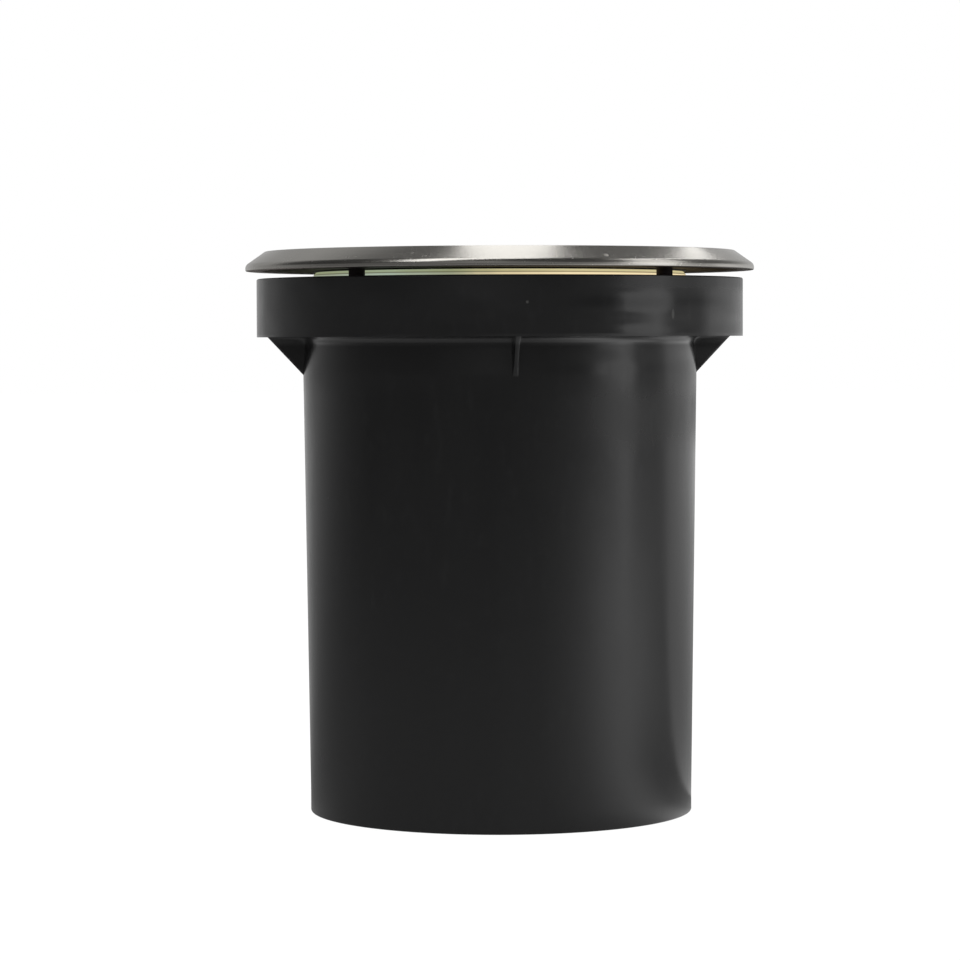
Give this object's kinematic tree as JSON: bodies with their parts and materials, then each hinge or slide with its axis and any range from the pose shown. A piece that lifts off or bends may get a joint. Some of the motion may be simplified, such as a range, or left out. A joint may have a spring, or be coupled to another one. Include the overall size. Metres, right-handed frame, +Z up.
{
  "type": "in ground well light",
  "caption": "Round well light for setting into the ground: plastic sleeve with a wide collar, cast lamp cup hung inside it, thick glass, and a bevelled steel bezel on screws.",
  "frame": {"origin": "centre of the ground sleeve's lower rim, on the face it stands on", "axes": "+Z up along the light's axis, X along the line of the lamp's pivots, Y square to it; the cable glands lie on the -Y side"},
  "size_m": [0.11, 0.11, 0.1212],
  "materials": {
    "sleeve_plastic": "black moulded, satin",
    "cast_housing": "black powder coat on cast aluminium",
    "silicone": "black silicone",
    "zinc_steel": "zinc-plated sheet steel",
    "brass": "plain brass",
    "terminal_plastic": "off-white polyamide",
    "ceramic": "unglazed white ceramic",
    "lamp_plastic": "white plastic",
    "lamp_shell": "white painted aluminium",
    "pin_metal": "nickel-plated",
    "board": "white solder mask",
    "led_phosphor": "yellow phosphor",
    "lamp_diffuser": "milky diffuser",
    "bezel_steel": "turned and satin-polished stainless steel",
    "screw_steel": "stainless steel",
    "clear_glass": "clear toughened glass",
    "gland_plastic": "black polyamide",
    "gland_rubber": "black rubber"
  },
  "bodies": {
    "sleeve": {"ground_sleeve": "sleeve_plastic"},
    "luminaire": {"lamp_housing": "cast_housing", "glass_gasket": "silicone", "gland_body_left": "gland_plastic", "gland_washer_left": "gland_rubber", "gland_grip_left": "gland_rubber", "gland_dome_left": "gland_plastic", "gland_locknut_left": "gland_plastic", "gland_body_right": "gland_plastic", "gland_washer_right": "gland_rubber", "gland_grip_right": "gland_rubber", "gland_dome_right": "gland_plastic", "gland_locknut_right": "gland_plastic", "holder_bracket": "zinc_steel", "bracket_screws": "zinc_steel", "pivot_rivets": "zinc_steel", "pivot_washers": "zinc_steel", "terminal_block": "terminal_plastic", "terminal_pillars": "brass", "terminal_screws": "zinc_steel", "terminal_fixing_screws": "zinc_steel", "earth_washer": "brass", "earth_screw": "brass"},
    "cover": {"bezel_ring": "bezel_steel", "bezel_seal": "silicone", "bezel_screws": "screw_steel", "glass_lens": "clear_glass"},
    "cradle": {"lamp_cradle": "zinc_steel", "lampholder": "ceramic", "holder_contacts": "brass", "holder_screws": "zinc_steel"},
    "lamp": {"lamp_cap": "lamp_plastic", "lamp_pins": "pin_metal", "lamp_body": "lamp_shell", "led_board": "board", "led_chips": "led_phosphor", "lamp_lens": "lamp_diffuser"}
  },
  "joints": [
    {"name": "luminaire_lift", "type": "slide", "parent": "sleeve", "child": "luminaire", "axis": [0, 0, 1], "range_m": [0, 0.115]},
    {"name": "cover_lift", "type": "slide", "parent": "luminaire", "child": "cover", "axis": [0, 0, 1], "range_m": [0, 0.04]},
    {"name": "lamp_tilt", "type": "hinge", "parent": "luminaire", "child": "cradle", "pos_m": [0, 0, 0.077], "axis": [1, 0, 0], "range_deg": [-15, 15]},
    {"name": "lamp_twist", "type": "hinge", "parent": "cradle", "child": "lamp", "pos_m": [0, 0, 0.0543], "axis": [0, 0, 1], "range_deg": [0, 30]}
  ]
}
